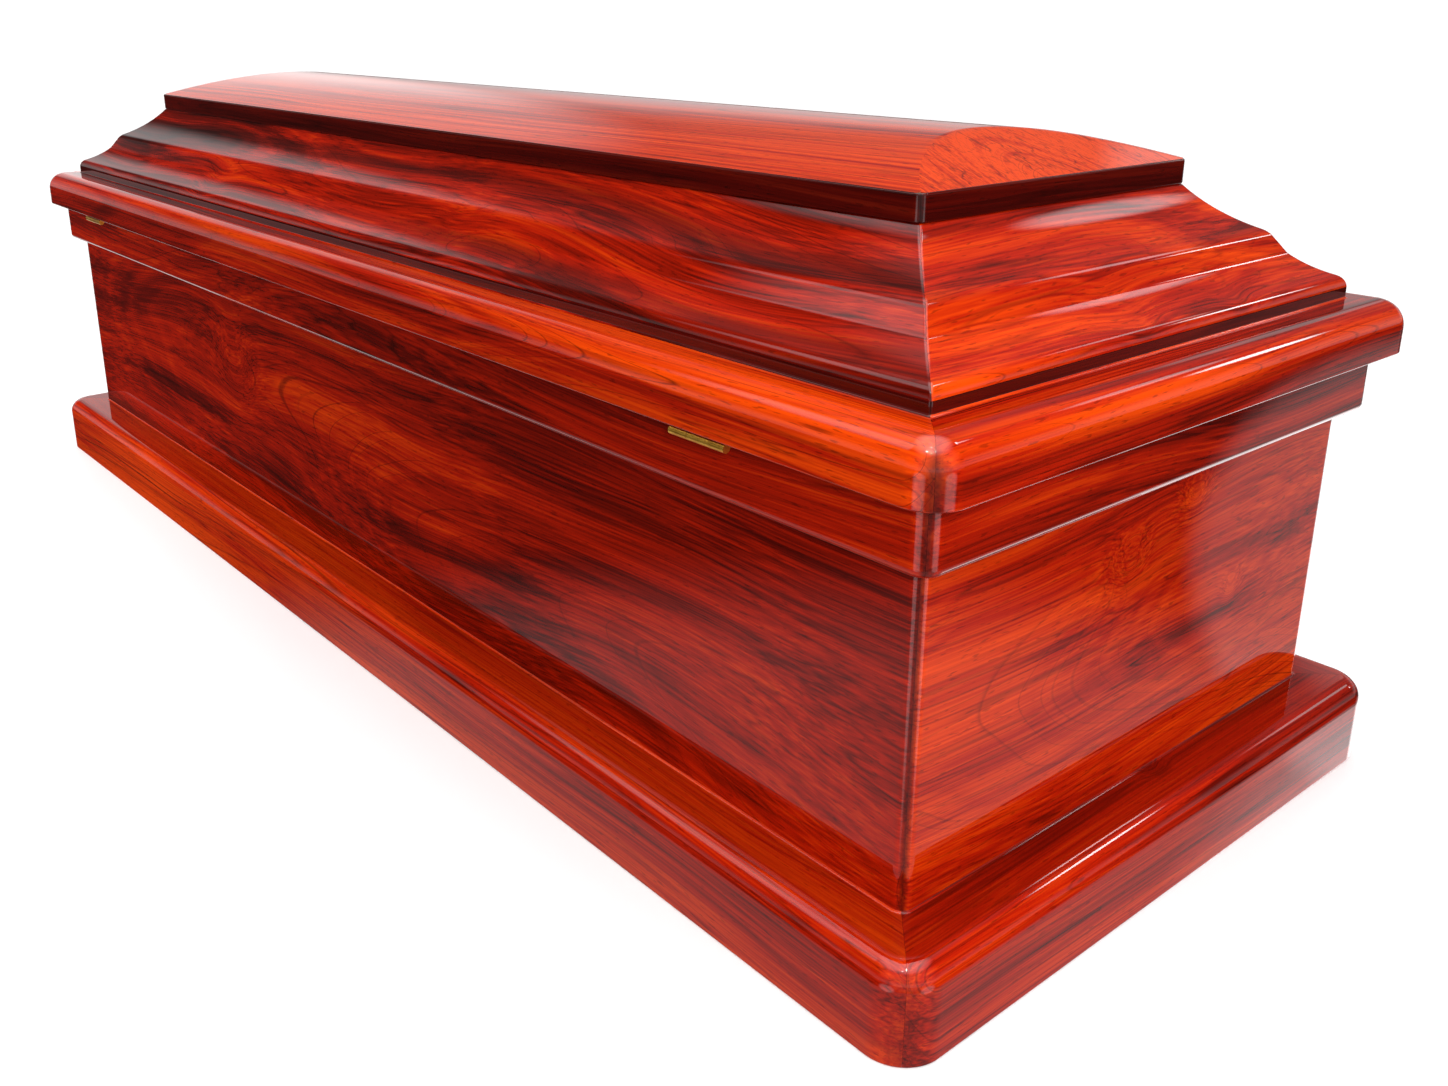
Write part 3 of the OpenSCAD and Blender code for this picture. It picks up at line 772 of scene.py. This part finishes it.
class CrownShape:
    """The crown's outer and inner arches, its sloping ends and its outline, all found from y."""

    def __init__(self):
        s = sizes()
        low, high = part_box("crown_board")
        self.half_w, self.base, self.rise = high.y, low.z, high.z - low.z
        self.half_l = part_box("crown_head_end")[1].x
        self.r = (self.half_w ** 2 + self.rise ** 2) / (2 * self.rise)
        self.centre_z = high.z - self.r
        self.inner_r = self.r - s.crown_t
        self.corner = s.frame_corner - 2 * MM
        self.run = s.crown_run
        slope = math.atan2(self.rise, s.crown_run)
        self.drop = s.crown_t / math.cos(slope)
        self.foot = s.crown_t / math.sin(slope)
        self.end_normal = Vector((math.sin(slope), 0, math.cos(slope)))

    def arch(self, y):
        return math.sqrt(max(self.r ** 2 - y * y, 0)) + self.centre_z

    def under(self, y):
        return max(math.sqrt(self.inner_r ** 2 - y * y) + self.centre_z, self.base)

    def outline(self, y):
        past = abs(y) - (self.half_w - self.corner)
        if past <= 0:
            return self.half_l
        return self.half_l - self.corner + math.sqrt(max(self.corner ** 2 - past ** 2, 0))

    def hip(self, y):
        """How far along the arch meets the sloping end, within the outline."""
        return min(self.half_l - self.run * (self.arch(y) - self.base) / self.rise, self.outline(y))

    def normal(self, y):
        return Vector((0, y, math.sqrt(self.r ** 2 - y * y))) / self.r

    def places(self):
        """Values of y across the crown, closer together at the rounded corners."""
        flat = self.half_w - self.corner
        turns = [math.radians(90 * i / CORNER_STEPS) for i in range(CORNER_STEPS + 1)]
        found = [flat * i / ARCH_STEPS for i in range(ARCH_STEPS)]
        found += [self.half_w - self.corner * (1 - math.sin(t)) for t in turns]
        return sorted({round(sign * y, 7) for y in found for sign in (1, -1)})


def crown_board(shape, materials):
    """The arched board, which ends in a soft hip at each sloping end."""
    board, ys = Shell(), shape.places()
    for a, b in zip(ys, ys[1:]):
        xa, xb = shape.hip(a), shape.hip(b)
        na, nb = shape.normal(a), shape.normal(b)
        za, zb, ua, ub = shape.arch(a), shape.arch(b), shape.under(a), shape.under(b)
        for sign in (1, -1):
            n_end = Vector((sign * shape.end_normal.x, 0, shape.end_normal.z))
            ha, hb = (na + n_end).normalized(), (nb + n_end).normalized()
            strip = [((sign * xa, a, za), ha), ((sign * xb, b, zb), hb),
                     ((sign * (xb - HIP_SOFT), b, zb), nb), ((sign * (xa - HIP_SOFT), a, za), na)]
            if sign < 0:
                strip.reverse()
            board.face([p for p, _ in strip], [n for _, n in strip])
            cap = [(sign * xa, a, ua), (sign * xb, b, ub), (sign * xb, b, zb), (sign * xa, a, za)]
            board.face(cap if sign > 0 else cap[::-1], None, 1)
        sa, sb = xa - HIP_SOFT, xb - HIP_SOFT
        board.face([(-sa, a, za), (sa, a, za), (sb, b, zb), (-sb, b, zb)], [na, na, nb, nb])
        board.face([(-xa, a, ua), (-xb, b, ub), (xb, b, ub), (xa, a, ua)], None, 1)
    return board.build("crown_arch_board", materials)


def crown_slope(shape, name, sign, materials):
    """One sloping end, between the arched board's hip and the crown's outline."""
    end, ys = Shell(), shape.places()
    n_end = Vector((sign * shape.end_normal.x, 0, shape.end_normal.z))
    fall = shape.rise / shape.run

    def section(y):
        """Points round the end's thickness at y, with the normals of those on the outer face."""
        x0, x1, z0 = shape.hip(y), shape.outline(y), shape.arch(y)
        z1 = shape.base + fall * (shape.half_l - x1)
        x_soft = min(x0 + HIP_SOFT, x1)
        z_soft = z0 - (x_soft - x0) * fall
        x_foot = max(x0, min(x1, shape.half_l - shape.foot))
        bottom = max(shape.base, z0 - shape.drop)
        hip_n = (shape.normal(y) + n_end).normalized()
        return [((sign * x0, y, z0), hip_n), ((sign * x_soft, y, z_soft), n_end), ((sign * x1, y, z1), n_end),
                ((sign * x1, y, shape.base), None), ((sign * x_foot, y, shape.base), None),
                ((sign * x0, y, bottom), None)]

    for a, b in zip(ys, ys[1:]):
        middle = (a + b) / 2
        if shape.hip(middle) >= shape.outline(middle):
            continue
        ra, rb = section(a), section(b)
        for k in range(len(ra)):
            m = (k + 1) % len(ra)
            quad = [ra[k], ra[m], rb[m], rb[k]]
            if sign < 0:
                quad.reverse()
            points, normals = [p for p, _ in quad], [n for _, n in quad]
            # The outer face is the first two steps, the edge the third, and the rest are inside
            end.face(points, normals if k < 2 else None, 0 if k < 3 else 1)
    return end.build(f"crown_slope_{name}", materials)


class COFFIN_OT_crown(bpy.types.Operator):
    """Make the arched crown board and its two sloping ends"""

    bl_idname = "coffin.crown"
    bl_label = "Crown"

    def execute(self, context):
        shape = CrownShape()
        grain = {e: rosewood(f"Crown rosewood - crown {e}", "hinge_side", seed, "Crown rosewood")
                 for e, seed in (("board", 4), ("head_end", 6), ("foot_end", 9))}
        made = crown_board(shape, [grain["board"], sealed_rosewood("hinge_side")])
        finish_piece(made, "lid", "rosewood", "crown_board")
        for name, sign in (("head_end", 1), ("foot_end", -1)):
            made = crown_slope(shape, name, sign, [grain[name], sealed_rosewood("head_end")])
            finish_piece(made, "lid", "rosewood", f"crown_{name}")
        return {"FINISHED"}


class COFFIN_OT_hinges(bpy.types.Operator):
    """Finish the hinges"""

    bl_idname = "coffin.hinges"
    bl_label = "Hinges"

    def execute(self, context):
        brass = polished_brass()
        for end in ("head", "foot"):
            for part in ("case_leaf", "lid_leaf", "pin"):
                dress(f"hinge_{end}_{part}", brass)
        return {"FINISHED"}


# ---- Studio ----

# Light in the hall around: its direction, how near to that direction it starts and is full (as the cosine
# of the angle between), and its strength
HALL_LIGHTS = (
    # A soft ceiling, a fill from the front, and the floor's own light from straight below
    ((0, 0, 1), 0.72, 0.96, 2.9),
    ((0.74, -0.46, 0.49), 0.35, 1.0, 0.5),
    ((0, 0, -1), 0.38, 0.47, 0.38),
    # The far end of the hall, for the crown to mirror
    ((-0.5, 0.8, 0.33), 0.45, 1.0, 0.15),
    ((-0.93, 0.28, 0.25), 0.955, 0.985, 0.55),
    ((-0.298, 0.881, 0.370), 0.996, 0.999, 0.5),
    # Lit windows, which streak the long rounds
    ((0.25, 0.872, 0.42), 0.9982, 0.9996, 12),
    ((0.18, 0.72, 0.67), 0.998, 0.9995, 18),
    ((0.12, 0.833, 0.54), 0.9975, 0.9995, 2.4),
    ((-0.61, -0.35, 0.71), 0.975, 0.997, 1.8),
    # Bright doorways to the left and right, which show as bands in the upright corners
    ((0.943, 0.06, -0.326), 0.955, 0.99, 1.5),
    ((0.18, -0.93, -0.326), 0.955, 0.99, 1.5),
    # The pale floor beyond, which lights the lower edges of the band and the rim
    ((0.0, 0.82, -0.57), 0.92, 0.98, 2.5),
    ((-0.85, 0.12, -0.51), 0.93, 0.98, 1.4),
    ((0.29, 0.89, -0.35), 0.985, 0.989, 0.45),
)
HALL_DIM = 0.02
# A lighter wall low in the distance, for the crown's top to mirror: heights it fades between, and strength
WALL_LOW, WALL_HIGH, WALL_LIGHT = 0.1, 0.33, 0.45

# Soft lamps that the lacquer doesn't mirror: two pools of light and a fill. Place, aim, size, watts, spread
SOFT_LAMPS = {
    "pool_head_end": ((2.5, -1.5, 1.3), (1.0, -0.2, 0.28), 0.3, 2.0, 50),
    "pool_foot": ((-1.9, -2.4, 1.4), (-0.8, -0.33, 0.25), 0.8, 3.2, 50),
    "front_fill": ((4.2, -1.8, 2.0), (0.3, 0, 0.35), 3.0, 34, 180),
}
# Small ceiling spots that dot the polished corners
SPOT_PLACES = ((1.3, -1.5, 2.7), (1.9, -1.5, 2.7), (1.3, -0.9, 2.7), (1.9, -0.9, 2.7))
SPOT_RADIUS, SPOT_WATTS = 0.02, 36

# Half width and height of the floor's raised outer edge, and of its flat part
FLOOR_EDGES = ((60, 14), (30, 0))

CAMERA_PLACE = (1.58253, -1.05780, 0.79953)
CAMERA_AXES = ((0.6355, 0.7721, -0.0031), (-0.2358, 0.1980, 0.9514), (0.7352, -0.6039, 0.3079))
CAMERA_LENS, CAMERA_SHIFT = 33.367, (0.0374, -0.0720)


def place_object(name, data):
    """A new object in the scene."""
    made = bpy.data.objects.new(name, data)
    bpy.context.scene.collection.objects.link(made)
    return made


def painted_floor():
    """Matt floor paint, rolled: a pale, slightly uneven sheen. A faint painted glow, though it is no lamp, evens
    it out.
    """
    material, tree, shader = start_material("Painted studio floor")
    place = add(tree, "ShaderNodeTexCoord").outputs["Object"]
    mottle = add(tree, "ShaderNodeTexNoise", {"Vector": place, "Scale": 6, "Detail": 3}).outputs["Fac"]
    rough = add(tree, "ShaderNodeMapRange", {"Value": mottle, "To Min": 0.5, "To Max": 0.6}).outputs[0]
    tree.links.new(rough, shader.inputs["Roughness"])
    shader.inputs["Base Color"].default_value = colours().floor
    # A faint painted glow: the floor gives off a little of its own colour, though it is no lamp
    shader.inputs["Emission Color"].default_value = colours().floor
    shader.inputs["Emission Strength"].default_value = 0.08
    return material


def lay_floor():
    """A floor with sloping edges far off. The lacquer doesn't mirror it, as in a darkened hall."""
    corners = [(x * reach, y * reach, z) for reach, z in FLOOR_EDGES
               for x, y in ((-1, -1), (1, -1), (1, 1), (-1, 1))]
    mesh = bpy.data.meshes.new("studio_floor")
    mesh.from_pydata(corners, [], [(4, 5, 6, 7), (0, 1, 5, 4), (1, 2, 6, 5), (2, 3, 7, 6), (3, 0, 4, 7)])
    mesh.materials.append(painted_floor())
    floor = place_object("studio_floor", mesh)
    floor.visible_glossy = floor.visible_diffuse = floor.visible_shadow = False


def light_hall(scene):
    """The light that comes from all around, and that the lacquer mirrors."""
    scene.world = bpy.data.worlds.new("Studio")
    scene.world.use_nodes = True
    tree = scene.world.node_tree
    tree.nodes.clear()
    way = add(tree, "ShaderNodeTexCoord").outputs["Generated"]
    light = HALL_DIM
    for axis, low, high, strength in HALL_LIGHTS:
        near = add(tree, "ShaderNodeVectorMath", {0: way, 1: axis}, operation="DOT_PRODUCT").outputs["Value"]
        part = add(tree, "ShaderNodeMapRange", {
            "Value": near, "From Min": low, "From Max": high, "To Min": 0.0, "To Max": strength,
        }, interpolation_type="SMOOTHSTEP").outputs[0]
        light = add(tree, "ShaderNodeMath", {0: part, 1: light}, operation="ADD").outputs[0]
    height = add(tree, "ShaderNodeSeparateXYZ", {0: way}).outputs[2]
    wall = add(tree, "ShaderNodeMapRange", {
        "Value": height, "From Min": WALL_LOW, "From Max": WALL_HIGH, "To Min": WALL_LIGHT, "To Max": 0.0,
    }, interpolation_type="SMOOTHSTEP").outputs[0]
    above = add(tree, "ShaderNodeMath", {0: height, 1: 0.0}, operation="GREATER_THAN").outputs[0]
    light = add(tree, "ShaderNodeMath", {0: wall, 1: above, 2: light}, operation="MULTIPLY_ADD").outputs[0]
    back = add(tree, "ShaderNodeBackground", {"Strength": light, "Color": (1, 1, 1, 1)}).outputs[0]
    add(tree, "ShaderNodeOutputWorld", {"Surface": back})


def hang_lamps():
    """The ceiling spots and the soft lamps."""
    for i, spot in enumerate(SPOT_PLACES):
        lamp = bpy.data.lights.new(f"ceiling_spot_{i}", "POINT")
        lamp.shadow_soft_size, lamp.energy = SPOT_RADIUS, SPOT_WATTS
        holder = place_object(lamp.name, lamp)
        holder.location = spot
        holder.visible_diffuse = False
    for name, (spot, aim, size, watts, spread) in SOFT_LAMPS.items():
        lamp = bpy.data.lights.new(name, "AREA")
        lamp.size, lamp.energy, lamp.spread = size, watts, math.radians(spread)
        holder = place_object(name, lamp)
        holder.location = spot
        holder.rotation_mode = "QUATERNION"
        holder.rotation_quaternion = (Vector(spot) - Vector(aim)).to_track_quat("Z", "Y")
        holder.visible_glossy = False


def set_camera(scene):
    """The camera, whose axes point right, up and backwards."""
    camera = bpy.data.cameras.new("camera")
    camera.sensor_width, camera.lens, camera.clip_end = 36, CAMERA_LENS, 100
    camera.shift_x, camera.shift_y = CAMERA_SHIFT
    stance = Matrix(CAMERA_AXES).transposed().to_4x4()
    stance.translation = CAMERA_PLACE
    scene.camera = place_object("camera", camera)
    scene.camera.matrix_world = stance


class COFFIN_OT_stage(bpy.types.Operator):
    """Set up the floor, the lights and the camera"""

    bl_idname = "coffin.stage"
    bl_label = "Studio"

    def execute(self, context):
        lay_floor()
        light_hall(context.scene)
        hang_lamps()
        set_camera(context.scene)
        context.scene.view_settings.view_transform = "Standard"
        return {"FINISHED"}


class COFFIN_PT_panel(bpy.types.Panel):
    """Coffin sizes, colours and makers"""

    bl_idname = "COFFIN_PT_panel"
    bl_label = "Coffin"
    bl_space_type = "VIEW_3D"
    bl_region_type = "UI"
    bl_category = "Coffin"

    def draw(self, context):
        for maker in MAKERS:
            self.layout.operator(maker.bl_idname)
        for group in (context.scene.coffin_sizes, context.scene.coffin_colours):
            for name in type(group).__annotations__:
                self.layout.prop(group, name)


MAKERS = (
    COFFIN_OT_case, COFFIN_OT_plinth, COFFIN_OT_band, COFFIN_OT_rim, COFFIN_OT_moulding,
    COFFIN_OT_frame, COFFIN_OT_crown, COFFIN_OT_hinges, COFFIN_OT_stage,
)
CLASSES = (CoffinSizes, CoffinColours, *MAKERS, COFFIN_PT_panel)


def register():
    for c in CLASSES:
        bpy.utils.register_class(c)
    bpy.types.Scene.coffin_sizes = bpy.props.PointerProperty(type=CoffinSizes)
    bpy.types.Scene.coffin_colours = bpy.props.PointerProperty(type=CoffinColours)


def unregister():
    del bpy.types.Scene.coffin_sizes
    del bpy.types.Scene.coffin_colours
    for c in reversed(CLASSES):
        bpy.utils.unregister_class(c)


def main():
    register()
    for maker in MAKERS:
        group, name = maker.bl_idname.split(".")
        getattr(getattr(bpy.ops, group), name)()


if __name__ == "__main__":
    main()
